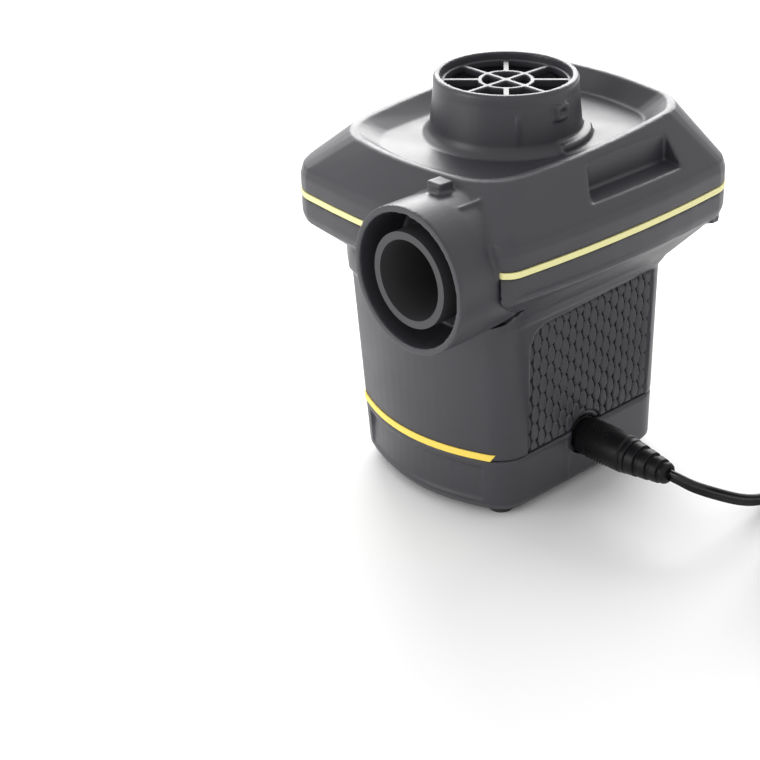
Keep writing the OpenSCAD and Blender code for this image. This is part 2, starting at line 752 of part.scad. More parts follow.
module dc_socket() color([0.07, 0.07, 0.07]) {
  difference() {
    union() {
      translate([socket_start, socket_y - 6.5, socket_z - 7]) cube([plug_start - socket_start - 1.7, 13, 13]);
      lead_cyl(6, 30, plug_start - 0.1);
    }
    lead_cyl(tip_r + 0.08, socket_start + 2, 60);
  }
}
module socket_contacts() color([0.8, 0.7, 0.4]) {
  lead_cyl(0.95, socket_start + 2, plug_start - 1);
  for (s = [-1, 1]) translate([socket_start - 3, socket_y + s * 4 - 1.2, socket_z - 0.35]) cube([3, 2.4, 0.7]);
}
module plug_tip() color("silver") {
  difference() {
    lead_cyl(tip_r, plug_start - 9, plug_start);
    lead_cyl(1.25, plug_start - 10, plug_start - 1);
  }
}
module plug_overmould() color([0.05, 0.05, 0.05]) {
  difference() {
    union() {
      lead_cyl(plug_r - 0.4, plug_start, plug_start + 1.4);
      lead_cyl(plug_r, plug_start + 1.4, 55);
      lead_cyl(plug_r - 0.5, 55, 56);
    }
    for (a = [0, 180]) translate([0, socket_y, socket_z]) rotate([a, 0, 0])
      translate([40, -6, plug_r - 0.5]) cube([10, 12, 2]);
  }
}
module strain_relief() color([0.05, 0.05, 0.05]) {
  lead_cyl(5.7, 56, 59.6);
  lead_cyl(4.2, 59.6, 60.8);
  lead_cyl(5, 60.8, 64);
  lead_cyl(3.6, 64, 65.2);
  lead_cyl(4.4, 65.2, 67.8);
  lead_cyl(3, 67.8, 68.8);
  lead_cyl(3.7, 68.8, lead_x);
}

// From the socket up to the switch, and from the switch down to the motor
feed_route = [[19.9, 5.5, 17.1], [17.5, 6.6, 14.8], [14.5, 9, 11.5], [12, 14, 9.5], [6, 22, 10], [0, 30, 18],
  [-6, 31.5, 30], [-10, 29, 41], [-10.5, 25.5, 50], [-9.5, 21.5, 57], [-6, 19.8, 60.4], [-3.8, 19.4, 61]];
motor_route = [[0, 19.4, 49.4], [0, 19.4, 47.6], [0, 21.8, 45], [0, 26.2, 41], [3, 27, 36], [10, 26.5, 30],
  [16, 24, 18], [18.5, 18, 10], [17.5, 10, 7.6], [13.5, 3, 8.4], [11.3, 0.6, 11], [11.15, 0, 13.6]];
return_route = [[19.9, -2.5, 17.1], [17.5, -4, 14], [10, -8, 10.5], [0, -9.5, 10], [-8, -6, 10.6],
  [-11.1, -1.2, 11.8], [-11.15, 0, 13.6]];
module wire_red() color([0.75, 0.08, 0.06]) {
  tube(feed_route, 0.8);
  tube(motor_route, 0.8);
}
module wire_black() { color([0.05, 0.05, 0.05]) tube(return_route, 0.8); }

// ---- Free cord and wall adaptor ----

// The lead leaves the strain relief, drops to the ground and runs back to the coil
lead_route = [[71, 1.5, 18.3], [75, 1.7, 18.1], [78.6, 3, 17], [81.4, 6, 15.2], [83.2, 10, 12.9],
  [84.4, 15, 10], [85.2, 20, 7.3], [85.7, 25, 5], [86, 30, 3.3], [85.6, 35, 2.4], [84.2, 42, 2.1],
  [80.9, 49, 2.1], [76.5, 55, 2.1], [73, 61, 2.2], [71.4, 67, 2.4]];
// The tail leaves the top of the coil and comes down into the adaptor
tail_route = [[123.6, 73, 7.1], [123.8, 67, 7.8], [124, 62, 8.9], [124, 58, 9.2]];
module power_cord() { color([0.04, 0.04, 0.04]) tube(lead_route, cord_r); }
module cord_tail() { color([0.04, 0.04, 0.04]) tube(tail_route, cord_r); }
module cord_coil() color([0.04, 0.04, 0.04]) {
  translate([coil_c[0], coil_c[1], coil_z]) rotate_extrude() translate([coil_in, 0])
    polygon([[1, 0], [coil_out - coil_in - 1, 0], [coil_out - coil_in, 1], [coil_out - coil_in, coil_h - 1],
      [coil_out - coil_in - 1, coil_h], [1, coil_h], [0, coil_h - 1], [0, 1]]);
}
module coil_tie() color([0.1, 0.1, 0.1]) {
  // Band round the coil's section
  a = -110;
  translate([coil_c[0], coil_c[1], 0]) rotate([0, 0, a]) difference() {
    translate([coil_in - 1.2, -2.4, 0]) cube([coil_out - coil_in + 2.4, 4.8, coil_h + 2]);
    translate([coil_in - 0.4, -3, coil_z - 0.06]) cube([coil_out - coil_in + 0.5, 6, coil_h + 0.12]);
  }
}
module adaptor_case() color([0.05, 0.05, 0.05]) {
  difference() {
    hull() for (x = [106, 138], y = [16, 46]) translate([x, y, 0]) {
      translate([0, 0, 1]) cylinder(r = 4, h = 19, $fn = 32);
      cylinder(r = 3, h = 1, $fn = 32);
    }
    translate([104, 14, 1.8]) cube([36, 34, 40]);
    translate([124, 60, 9.2]) rotate([90, 0, 0]) cylinder(r = 2.6, h = 20);
  }
}
module adaptor_lid() color([0.05, 0.05, 0.05]) {
  difference() {
    hull() for (x = [106, 138], y = [16, 46]) translate([x, y, 20]) {
      cylinder(r = 4, h = 7, $fn = 32);
      cylinder(r = 3, h = 8, $fn = 32);
    }
    translate([104, 14, 19]) cube([36, 34, 7]);
    for (s = [-6.35, 6.35]) translate([122 + s - 0.75, 31 - 3.2, 20]) cube([1.5, 6.4, 20]);
  }
}
module adaptor_gland() color([0.05, 0.05, 0.05]) {
  translate([124, 50, 9.2]) rotate([-90, 0, 0]) cylinder(r1 = 4, r2 = 2.9, h = 8);
  translate([124, 50, 9.2]) rotate([90, 0, 0]) cylinder(r = 2.6, h = 4);
}
module adaptor_blades() color("silver") {
  for (s = [-6.35, 6.35]) difference() {
    translate([122 + s - 0.75, 31 - 3.2, 22]) cube([1.5, 6.4, 23]);
    translate([122 + s - 2, 31, 41.5]) rotate([0, 90, 0]) cylinder(r = 1.5, h = 4);
  }
}

upper_housing();
lower_housing();
base_cover();
head_trim();
base_trim();
grip_panel_right();
grip_panel_left();
inlet_grille();
fan_housing();
fan_cover();
inlet_seal();
impeller();
impeller_nut();
motor_shaft();
armature_core();
armature_windings();
commutator();
motor_can();
motor_magnets();
motor_end_cap();
motor_bushes();
carbon_brushes();
motor_terminals();
motor_damper();
suppressor();
motor_screws();
fan_cover_screws();
housing_screws();
base_screws();
rubber_feet();
switch_body();
switch_rocker();
switch_terminals();
dc_socket();
socket_contacts();
wire_red();
wire_black();
plug_tip();
plug_overmould();
strain_relief();
power_cord();
cord_coil();
coil_tie();
cord_tail();
adaptor_case();
adaptor_lid();
adaptor_gland();
adaptor_blades();
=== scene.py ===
"""Looks of the electric air mattress pump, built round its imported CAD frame. Metres throughout."""

import math

import bmesh
import bpy
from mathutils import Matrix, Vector


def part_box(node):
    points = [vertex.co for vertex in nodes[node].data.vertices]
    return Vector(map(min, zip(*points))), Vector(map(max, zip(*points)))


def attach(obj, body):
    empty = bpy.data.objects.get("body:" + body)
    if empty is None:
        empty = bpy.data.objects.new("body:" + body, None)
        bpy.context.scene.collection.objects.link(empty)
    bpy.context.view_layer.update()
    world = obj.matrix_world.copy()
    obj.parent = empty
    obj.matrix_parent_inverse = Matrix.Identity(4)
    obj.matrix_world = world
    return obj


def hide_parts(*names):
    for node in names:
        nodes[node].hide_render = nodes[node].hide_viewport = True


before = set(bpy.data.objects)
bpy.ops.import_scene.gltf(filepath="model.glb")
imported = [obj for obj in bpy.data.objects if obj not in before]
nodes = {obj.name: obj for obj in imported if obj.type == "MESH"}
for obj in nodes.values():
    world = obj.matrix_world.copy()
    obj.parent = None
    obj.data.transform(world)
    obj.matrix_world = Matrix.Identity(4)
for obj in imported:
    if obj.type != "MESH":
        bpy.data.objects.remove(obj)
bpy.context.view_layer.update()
MM = 0.001

# ---------------------------------------------------------------- driving sizes, from the frame

shell_lo, shell_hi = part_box("upper_housing")
panel_lo, panel_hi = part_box("grip_panel_right")
tip_lo, tip_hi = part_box("plug_tip")
grip_lo, grip_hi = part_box("plug_overmould")
relief_lo, relief_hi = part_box("strain_relief")
coil_lo, coil_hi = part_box("cord_coil")

plug_axis = (tip_lo + tip_hi) / 2
coil_centre = (coil_lo + coil_hi) / 2
CORD_WIDTH = 4.0 * MM
CORD_THICK = 2.1 * MM


# ---------------------------------------------------------------- camera, at the photo's angle

def look(target, azimuth, elevation, distance, lens, shift):
    """The scene's camera, looking at target from an azimuth and an elevation in degrees."""
    a, e = math.radians(azimuth), math.radians(elevation)
    back = Vector((math.sin(a) * math.cos(e), -math.cos(a) * math.cos(e), math.sin(e)))
    data = bpy.data.cameras.new("camera")
    data.lens = lens
    data.shift_x, data.shift_y = shift
    cam = bpy.data.objects.new("camera", data)
    cam.location = Vector(target) + back * distance
    cam.rotation_mode = "QUATERNION"
    cam.rotation_quaternion = (-back).to_track_quat("-Z", "Y")
    bpy.context.scene.collection.objects.link(cam)
    bpy.context.scene.camera = cam


look((0, 0, 0.065), azimuth=44.9, elevation=24.9, distance=0.5914, lens=85.3, shift=(-0.166, -0.139))


# ---------------------------------------------------------------- materials

def tree(name):
    """A new node material, its node maker, its links and its shader."""
    mat = bpy.data.materials.new(name)
    mat.use_nodes = True
    nt = mat.node_tree
    return mat, nt.nodes.new, nt.links.new, nt.nodes["Principled BSDF"]


def noise(new, link, scale, detail=3.0, rough=0.55):
    """Noise in the object's own metres, so it has the same size on every piece."""
    where = new("ShaderNodeTexCoord")
    tex = new("ShaderNodeTexNoise")
    tex.inputs["Scale"].default_value = scale
    tex.inputs["Detail"].default_value = detail
    tex.inputs["Roughness"].default_value = rough
    link(where.outputs["Object"], tex.inputs["Vector"])
    return tex.outputs["Fac"]


def ramp(new, link, factor, low, high, start=0.3, stop=0.7):
    """A factor turned into a range of numbers."""
    node = new("ShaderNodeMapRange")
    node.inputs["From Min"].default_value = start
    node.inputs["From Max"].default_value = stop
    node.inputs["To Min"].default_value = low
    node.inputs["To Max"].default_value = high
    link(factor, node.inputs["Value"])
    return node.outputs["Result"]


def tint(new, link, factor, dark, light):
    """A factor turned into a colour between dark and light."""
    node = new("ShaderNodeMix")
    node.data_type = "RGBA"
    node.inputs[6].default_value = (*dark, 1)
    node.inputs[7].default_value = (*light, 1)
    link(factor, node.inputs[0])
    return node.outputs[2]


def relief(new, link, height, depth):
    """Bump of a given depth in metres."""
    node = new("ShaderNodeBump")
    node.inputs["Strength"].default_value = 1.0
    node.inputs["Distance"].default_value = depth
    link(height, node.inputs["Height"])
    return node.outputs["Normal"]


def moulded(name, colour, rough, grain=2600, depth=0.02, spread=0.12, specular=0.5, coat=0.0):
    """Moulded plastic or rubber: spark-eroded grain, slow colour drift and patchy polish."""
    mat, new, link, shader = tree(name)
    drift = noise(new, link, scale=45, detail=4)
    fine = noise(new, link, grain, detail=2, rough=0.7)
    low = tuple(c * (1 - spread) for c in colour)
    high = tuple(c * (1 + spread) for c in colour)
    link(tint(new, link, drift, low, high), shader.inputs["Base Color"])
    link(ramp(new, link, drift, rough - 0.05, rough + 0.06), shader.inputs["Roughness"])
    shader.inputs["Specular IOR Level"].default_value = specular
    shader.inputs["Coat Weight"].default_value = coat
    shader.inputs["Coat Roughness"].default_value = 0.25
    link(relief(new, link, fine, depth * MM), shader.inputs["Normal"])
    return mat


def metal(name, colour, rough, stretch=(1, 1, 60), scale=900, depth=0.004):
    """Bare metal with fine drawn or turned lines and uneven shine."""
    mat, new, link, shader = tree(name)
    where = new("ShaderNodeTexCoord")
    squeeze = new("ShaderNodeMapping")
    squeeze.inputs["Scale"].default_value = stretch
    tex = new("ShaderNodeTexNoise")
    tex.inputs["Scale"].default_value = scale
    tex.inputs["Detail"].default_value = 3
    link(where.outputs["Object"], squeeze.inputs["Vector"])
    link(squeeze.outputs["Vector"], tex.inputs["Vector"])
    drift = noise(new, link, scale=160, detail=3)
    link(tint(new, link, drift, tuple(c * 0.82 for c in colour), colour), shader.inputs["Base Color"])
    shader.inputs["Metallic"].default_value = 1.0
    link(ramp(new, link, tex.outputs["Fac"], rough - 0.08, rough + 0.1), shader.inputs["Roughness"])
    link(relief(new, link, tex.outputs["Fac"], depth * MM), shader.inputs["Normal"])
    return mat


def wound(name, colour):
    """Enamelled copper wire in close turns."""
    mat, new, link, shader = tree(name)
    where = new("ShaderNodeTexCoord")
    wave = new("ShaderNodeTexWave")
    wave.bands_direction = "DIAGONAL"
    wave.inputs["Scale"].default_value = 420
    wave.inputs["Distortion"].default_value = 0.6
    link(where.outputs["Object"], wave.inputs["Vector"])
    dark = tuple(c * 0.45 for c in colour)
    link(tint(new, link, wave.outputs["Fac"], dark, colour), shader.inputs["Base Color"])
    shader.inputs["Metallic"].default_value = 0.7
    shader.inputs["Roughness"].default_value = 0.32
    link(relief(new, link, wave.outputs["Fac"], 0.12 * MM), shader.inputs["Normal"])
    return mat


SHELL = moulded("shell_plastic", (0.036, 0.035, 0.042), 0.40, grain=3200, depth=0.02, spread=0.05)
GRIP = moulded("grip_plastic", (0.046, 0.045, 0.051), 0.44, grain=2600, depth=0.03, spread=0.06)
# Painted shade: a near-black colour laid on the grip's groove faces, where the scales shade each other
GROOVE_SHADE = moulded("grip_groove_shade", (0.010, 0.010, 0.011), 0.6, grain=2600, depth=0.02, specular=0.2)
INSIDE = moulded("inner_plastic", (0.016, 0.016, 0.018), 0.55, grain=2600, depth=0.02)
DUCT = moulded("duct_plastic", (0.040, 0.040, 0.043), 0.55, grain=2600, depth=0.02)
TRIM = moulded("trim_yellow", (0.82, 0.78, 0.36), 0.42, grain=2400, depth=0.008, spread=0.05)
BASE_TRIM = moulded("base_trim_yellow", (0.92, 0.68, 0.10), 0.42, grain=2400, depth=0.008, spread=0.05)
RUBBER = moulded("soft_rubber", (0.02, 0.02, 0.02), 0.75, grain=1600, depth=0.04)
CORD = moulded("vinyl", (0.006, 0.006, 0.007), 0.28, grain=1500, depth=0.006, specular=0.3, coat=0.1)
PLUG = moulded("plug_vinyl", (0.006, 0.006, 0.007), 0.42, grain=2200, depth=0.014, specular=0.2)
WHITE = moulded("white_nylon", (0.72, 0.71, 0.66), 0.45, grain=2000, depth=0.01)
RED = moulded("red_plastic", (0.36, 0.016, 0.012), 0.33, grain=2200, depth=0.006)
CERAMIC = moulded("dipped_ceramic", (0.6, 0.28, 0.05), 0.3, grain=900, depth=0.03)
CARBON = moulded("graphite", (0.04, 0.04, 0.042), 0.4, grain=3000, depth=0.02)
FERRITE = moulded("ferrite", (0.09, 0.09, 0.095), 0.6, grain=1800, depth=0.04)
STEEL = metal("plated_steel", (0.62, 0.63, 0.64), 0.3)
CAN = metal("drawn_steel", (0.56, 0.57, 0.59), 0.34, stretch=(1, 1, 25))
CORE = metal("laminations", (0.34, 0.34, 0.35), 0.45, stretch=(0.02, 0.02, 3), scale=1400, depth=0.05)
BRASS = metal("brass", (0.76, 0.56, 0.24), 0.3)
NICKEL = metal("nickel", (0.70, 0.68, 0.64), 0.22, stretch=(40, 1, 1))
COPPER = wound("copper_wire", (0.72, 0.32, 0.12))

NODE_LOOKS = {
    TRIM: ["head_trim"],
    BASE_TRIM: ["base_trim"],
    DUCT: ["fan_housing", "inlet_grille"],
    INSIDE: ["fan_cover", "impeller", "switch_body", "dc_socket", "coil_tie", "adaptor_case", "adaptor_lid"],
    RUBBER: ["inlet_seal", "motor_damper", "rubber_feet", "adaptor_gland"],
    STEEL: ["impeller_nut", "motor_shaft", "motor_screws", "fan_cover_screws", "housing_screws",
            "base_screws"],
    CORE: ["armature_core"],
    COPPER: ["armature_windings", "commutator"],
    CAN: ["motor_can"],
    FERRITE: ["motor_magnets"],
    WHITE: ["motor_end_cap"],
    BRASS: ["motor_bushes", "motor_terminals", "switch_terminals", "socket_contacts"],
    CARBON: ["carbon_brushes"],
    CERAMIC: ["suppressor"],
    RED: ["switch_rocker", "wire_red"],
    CORD: ["wire_black", "power_cord", "cord_coil", "cord_tail"],
    NICKEL: ["plug_tip", "adaptor_blades"],
    PLUG: ["plug_overmould", "strain_relief"],
    SHELL: ["upper_housing", "lower_housing", "base_cover"],
    GRIP: ["grip_panel_right", "grip_panel_left"],
}
# Edge radius of the pieces that keep their CAD mesh, in millimetres
ROUNDED = {
    "head_trim": 0.25, "base_trim": 0.08, "switch_body": 0.5, "switch_rocker": 0.4, "adaptor_case": 0.5,
    "adaptor_lid": 0.5, "adaptor_blades": 0.2, "coil_tie": 0.3, "rubber_feet": 0.25, "impeller": 0.15,
    "housing_screws": 0.15, "base_screws": 0.15, "adaptor_gland": 0.3, "motor_can": 0.3, "fan_cover": 0.2,
}


def paint(obj, mat):
    """One material on the whole of an object."""
    obj.data.materials.clear()
    obj.data.materials.append(mat)


def round_edges(obj, width, segments=3):
    """Small moulding radius on every sharp edge."""
    bevel = obj.modifiers.new("edges", "BEVEL")
    bevel.width = width * MM
    bevel.segments = segments
    bevel.limit_method = "ANGLE"
    bevel.angle_limit = math.radians(35)
    bevel.harden_normals = True


for look_mat, names in NODE_LOOKS.items():
    for node_name in names:
        paint(nodes[node_name], look_mat)
for node_name, width in ROUNDED.items():
    round_edges(nodes[node_name], width)


# ---------------------------------------------------------------- mesh helpers

def new_piece(name, verts, faces, mat, body, stands_for=()):
    """A smooth-shaded mesh that rides on a body and may stand for CAD nodes."""
    mesh = bpy.data.meshes.new(name)
    mesh.from_pydata([tuple(v) for v in verts], [], faces)
    mesh.validate()
    bm = bmesh.new()
    bm.from_mesh(mesh)
    bmesh.ops.recalc_face_normals(bm, faces=bm.faces)
    bm.to_mesh(mesh)
    bm.free()
    return add_piece(name, mesh, mat, body, stands_for)


def add_piece(name, mesh, mat, body, stands_for=()):
    """The same, from a mesh that is ready."""
    mesh.materials.clear()
    mesh.materials.append(mat)
    mesh.shade_smooth()
    obj = bpy.data.objects.new(name, mesh)
    bpy.context.scene.collection.objects.link(obj)
    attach(obj, body)
    if stands_for:
        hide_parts(*stands_for)
    return obj


def softened(node, name, voxel, rounds, keep):
    """A CAD shell with its edges and joins melted together, as a mould's radii and fillets do.

    The voxel size is in millimetres; keep is the share of the faces that stays.
    """
    work = bpy.data.objects.new(name + "_work", nodes[node].data.copy())
    bpy.context.scene.collection.objects.link(work)
    melt = work.modifiers.new("melt", "REMESH")
    melt.mode = "VOXEL"
    melt.voxel_size = voxel * MM * 1
    even = work.modifiers.new("even", "SMOOTH")
    even.factor = 0.5
    even.iterations = rounds
    thin = work.modifiers.new("thin", "DECIMATE")
    thin.ratio = keep
    dg = bpy.context.evaluated_depsgraph_get()
    mesh = bpy.data.meshes.new_from_object(work.evaluated_get(dg))
    bpy.data.objects.remove(work)
    mesh.name = name
    add_piece(name, mesh, SHELL, "housing", [node])


def lathe(name, profile, start, axis, mat, body, stands_for=(), steps=64):
    """A solid of revolution: profile holds (distance along axis, radius) pairs, from start."""
    axis = Vector(axis).normalized()
    side = axis.orthogonal().normalized()
    up = axis.cross(side)
    verts, faces = [], []
    for along, radius in profile:
        for k in range(steps):
            a = 2 * math.pi * k / steps
            verts.append(Vector(start) + axis * along + (side * math.cos(a) + up * math.sin(a)) * radius)
    for i in range(len(profile) - 1):
        for k in range(steps):
            a, b = i * steps + k, i * steps + (k + 1) % steps
            faces.append((a, b, b + steps, a + steps))
    faces.append(tuple(range(steps - 1, -1, -1)))
    faces.append(tuple((len(profile) - 1) * steps + k for k in range(steps)))
    return new_piece(name, verts, faces, mat, body, stands_for)


def rounded_profile(corners, radius, arc=5, share=0.45):
    """(along, radius) corners of a lathe profile, each inner one rounded within a share of its sides."""
    out = [corners[0]]
    for p, q, r in zip(corners, corners[1:], corners[2:]):
        p, q, r = Vector((*p, 0)), Vector((*q, 0)), Vector((*r, 0))
        cut = min(radius, (p - q).length * share, (r - q).length * share)
        a, b = q + (p - q).normalized() * cut, q + (r - q).normalized() * cut
        for k in range(arc + 1):
            t = k / arc
            point = a * (1 - t) ** 2 + q * 2 * t * (1 - t) + b * t ** 2
            out.append((point.x, point.y))
    out.append(corners[-1])
    return out


# ---------------------------------------------------------------- shells

softened("upper_housing", "head_shell", voxel=0.5, rounds=4, keep=0.3)
softened("lower_housing", "column_shell", voxel=0.6, rounds=3, keep=0.3)
softened("base_cover", "base_shell", voxel=0.5, rounds=3, keep=0.3)
softened("inlet_grille", "grille_web", voxel=0.3, rounds=3, keep=0.5)


# ---------------------------------------------------------------- grip panels

SCALE_WIDTH = 3.2 * MM
SCALE_HEIGHT = 6.4 * MM
SCALE_RELIEF = 0.9 * MM
OVAL_WIDE = 0.50        # half width and half height of an oval, as shares of its pitch
OVAL_TALL = 0.56
OVAL_STEEP = 2.2        # how quickly an oval rises from its edge to its flat top
SCALE_MEAN = 0.9        # share of the relief at the middle of a scale, and its change to the side
SCALE_LEAN = 0.25
SHADE_SHARE = 0.3      # relief below this share takes the painted groove shade
NOTCH_R = 8.2 * MM      # arch over the plug
PANEL_THICK = 1.1 * MM
PANEL_FLOOR = 0.85 * MM
PANEL_BACK = 1.15 * MM
PANEL_RIM = 0.9 * MM
PANEL_TOP_MM = ((0, 7.5), (2, 3.9), (5.7, 2.2))  # behind the panel's front edge, and below its top


def scale_height(y, z):
    """Relief of the moulded scales: staggered upright ovals, each a little lower on its front side."""
    best = 0.0
    column = round(y / SCALE_WIDTH)
    for c in (column - 1, column, column + 1):
        offset = SCALE_HEIGHT / 2 if c % 2 else 0.0
        row = round((z - offset) / SCALE_HEIGHT)
        for r in (row - 1, row, row + 1):
            dy = (y - c * SCALE_WIDTH) / (OVAL_WIDE * SCALE_WIDTH)
            dz = (z - offset - r * SCALE_HEIGHT) / (OVAL_TALL * SCALE_HEIGHT)
            oval = 1 - dy * dy - dz * dz
            best = max(best, min(1.0, oval * OVAL_STEEP) * (SCALE_MEAN + SCALE_LEAN * dy))
    return best * SCALE_RELIEF


def panel_top(y):
    """Top edge of the panel: a cut front corner, then a slow rise to the back."""
    points = [(panel_lo.y + behind * MM, panel_hi.z - below * MM) for behind, below in PANEL_TOP_MM]
    points.append((panel_hi.y, panel_hi.z))
    for (y0, z0), (y1, z1) in zip(points, points[1:]):
        if y <= y1:
            return z0 + (z1 - z0) * (y - y0) / (y1 - y0)
    return points[-1][1]


def panel_bottom(y, notched):
    """Bottom edge of the panel, with an arch over the plug on the plug's side."""
    reach = abs(y - plug_axis.y)
    arch = plug_axis.z + math.sqrt(max(0.0, NOTCH_R ** 2 - reach ** 2)) if reach < NOTCH_R else 0.0
    return max(panel_lo.z, arch) if notched else panel_lo.z


def grip_panel(side, name, node, across=230, up=190):
    """Textured plate that fills the recess in one side of the column, its grooves darkened with painted
    shade.
    """
    lean = (panel_hi.x - panel_lo.x - PANEL_THICK) / (panel_hi.z - panel_lo.z)
    verts, faces = [], []
    for layer in (0, 1):
        for i in range(across + 1):
            y = panel_lo.y + (panel_hi.y - panel_lo.y) * i / across
            bottom, top = panel_bottom(y, side > 0), panel_top(y)
            for j in range(up + 1):
                z = bottom + (top - bottom) * j / up
                face_x = panel_lo.x + PANEL_THICK + lean * (z - panel_lo.z)
                edge = min(y - panel_lo.y, panel_hi.y - y, z - bottom, top - z)
                fade = min(1.0, max(0.0, edge) / PANEL_RIM)
                front = face_x - PANEL_FLOOR + scale_height(y, z) * fade
                x = front if layer == 0 else face_x - PANEL_BACK
                verts.append((side * x, y, z))
    count = (across + 1) * (up + 1)
    shaded_faces = []
    for layer in (0, 1):
        for i in range(across):
            for j in range(up):
                a = layer * count + i * (up + 1) + j
                faces.append((a, a + 1, a + up + 2, a + up + 1))
                middle_y = (verts[a][1] + verts[a + up + 1][1]) / 2
                middle_z = (verts[a][2] + verts[a + 1][2]) / 2
                # Faces low in the relief are marked for the painted groove shade
                shaded_faces.append(layer == 0 and scale_height(middle_y, middle_z) < SHADE_SHARE * SCALE_RELIEF)
    rim = [i * (up + 1) for i in range(across)] + [across * (up + 1) + j for j in range(up)]
    rim += [i * (up + 1) + up for i in range(across, 0, -1)] + [j for j in range(up, 0, -1)]
    for a, b in zip(rim, rim[1:] + rim[:1]):
        faces.append((a, b, b + count, a + count))
    plate = new_piece(name, verts, faces, GRIP, "housing", [node])
    # Second material: painted shade in the grooves between the scales
    plate.data.materials.append(GROOVE_SHADE)
    for face, in_shade in zip(plate.data.polygons, shaded_faces):
        face.material_index = 1 if in_shade else 0


grip_panel(1, "grip_scales_right", "grip_panel_right")
grip_panel(-1, "grip_scales_left", "grip_panel_left")


# ---------------------------------------------------------------- plug

def plug_grip():
    """Overmoulded body of the plug: a collar by the wall, a long barrel and a shoulder."""
    length = grip_hi.x - grip_lo.x
    r = (grip_hi.z - grip_lo.z) / 2
    corners = [(0, r - 2.4 * MM), (0, r - 0.45 * MM), (1.2 * MM, r - 0.45 * MM), (1.9 * MM, r - 0.02 * MM),
               (length - 2.6 * MM, r - 0.02 * MM), (length - 2.0 * MM, r - 0.7 * MM),
               (length - 1.4 * MM, r - 0.3 * MM), (length, r - 0.6 * MM), (length, r - 2.4 * MM)]
    start = Vector((grip_lo.x, plug_axis.y, plug_axis.z))
    return lathe("plug_body", rounded_profile(corners, 0.5 * MM), start, (1, 0, 0), PLUG, "plug",
                 ["plug_overmould"])


STUD_R = 0.36 * MM
STUD_TALL = 0.34 * MM
STUD_SINK = 0.1 * MM
STUD_START = 5.2 * MM
STUD_PITCH_MM = 1.15
STUD_SIDES = 8
STUD_LEVELS = ((1.0, 0.0), (0.75, 0.6), (0.3, 0.95))  # shares of the radius and of the height
PATCH_FIRST_DEG = 35
PATCH_ROW_DEG = 8.5


def grip_studs():
    """Four patches of small rounded studs round the plug, in staggered rows."""
    r = (grip_hi.z - grip_lo.z) / 2 - STUD_SINK
    ring = STUD_SIDES
    verts, faces = [], []
    for patch in range(4):
        for row in range(-3, 4):
            for column in range(7):
                a = math.radians(90 * patch + PATCH_FIRST_DEG + row * PATCH_ROW_DEG)
                x = grip_lo.x + STUD_START + (column + 0.5 * (row % 2)) * STUD_PITCH_MM * MM
                out = Vector((0, math.cos(a), math.sin(a)))
                across = Vector((0, -math.sin(a), math.cos(a)))
                foot = Vector((x, plug_axis.y, plug_axis.z)) + out * r
                base = len(verts)
                for share, height in STUD_LEVELS:
                    for k in range(ring):
                        t = 2 * math.pi * k / ring
                        spot = Vector((math.cos(t), 0, 0)) + across * math.sin(t)
                        verts.append(foot + spot * STUD_R * share + out * STUD_TALL * height)
                for level in range(2):
                    for k in range(ring):
                        p, q = base + level * ring + k, base + level * ring + (k + 1) % ring
                        faces.append((p, q, q + ring, p + ring))
                faces.append(tuple(base + 2 * ring + k for k in range(ring)))
                faces.append(tuple(base + ring - 1 - k for k in range(ring)))
    return new_piece("plug_studs", verts, faces, PLUG, "plug")


RINGS_MM = ((3.6, 5.7, 4.3), (3.3, 5.05, 3.7), (2.9, 4.4, 3.1))  # width, radius, radius of the neck behind
RING_GAP_MM = 1.2


def ringed_relief():
    """Tapered strain relief of three stepped rings and a nose."""
    corners = [(0, 2 * MM)]
    x, length = 0.0, relief_hi.x - relief_lo.x
    for width, r, neck in RINGS_MM:
        corners += [(x, (neck + 0.2) * MM), (x + 0.25 * MM, r * MM), (x + width * MM, (r - 0.35) * MM),
                    (x + width * MM, neck * MM), (x + (width + RING_GAP_MM) * MM, neck * MM)]
        x += (width + RING_GAP_MM) * MM
    corners += [(x, 3.7 * MM), (length - 0.6 * MM, 3.4 * MM), (length, 2.6 * MM), (length, 1.5 * MM)]
    start = Vector((relief_lo.x, plug_axis.y, plug_axis.z))
    return lathe("plug_rings", rounded_profile(corners, 0.35 * MM, 4), start, (1, 0, 0), PLUG, "plug",
                 ["strain_relief"])


plug_body = plug_grip()
plug_studs = grip_studs()
plug_rings = ringed_relief()


# ---------------------------------------------------------------- cord

# Given as in the part: from the strain relief to the coil, and from the coil to the adaptor
LEAD_MM = [[71, 1.5, 18.3], [75, 1.7, 18.1], [78.6, 3, 17], [81.4, 6, 15.2], [83.2, 10, 12.9],
           [84.4, 15, 10], [85.2, 20, 7.3], [85.7, 25, 5], [86, 30, 3.3], [85.6, 35, 2.4], [84.2, 42, 2.1],
           [80.9, 49, 2.1], [76.5, 55, 2.1], [73, 61, 2.2], [71.4, 67, 2.4], [70.5, 73.5, 2.6]]
TAIL_MM = [[123.6, 73, 7.1], [123.8, 67, 7.8], [124, 62, 8.9], [124, 58, 9.2], [124, 54, 9.2]]


COIL_GAP = 0.12 * MM    # between neighbouring turns
COIL_SIDE = 0.1 * MM    # between the outer turn and the coil's box
COIL_FOOT = 0.05 * MM   # between the bottom turns and the ground
CLIMB_AT = 0.6          # turns before the bottom layer is full at which the lead starts to climb
CLIMB_OVER = 0.7        # turns that the climb takes
STRAND_FLAT = 0.98      # width of a strand as a share of its height


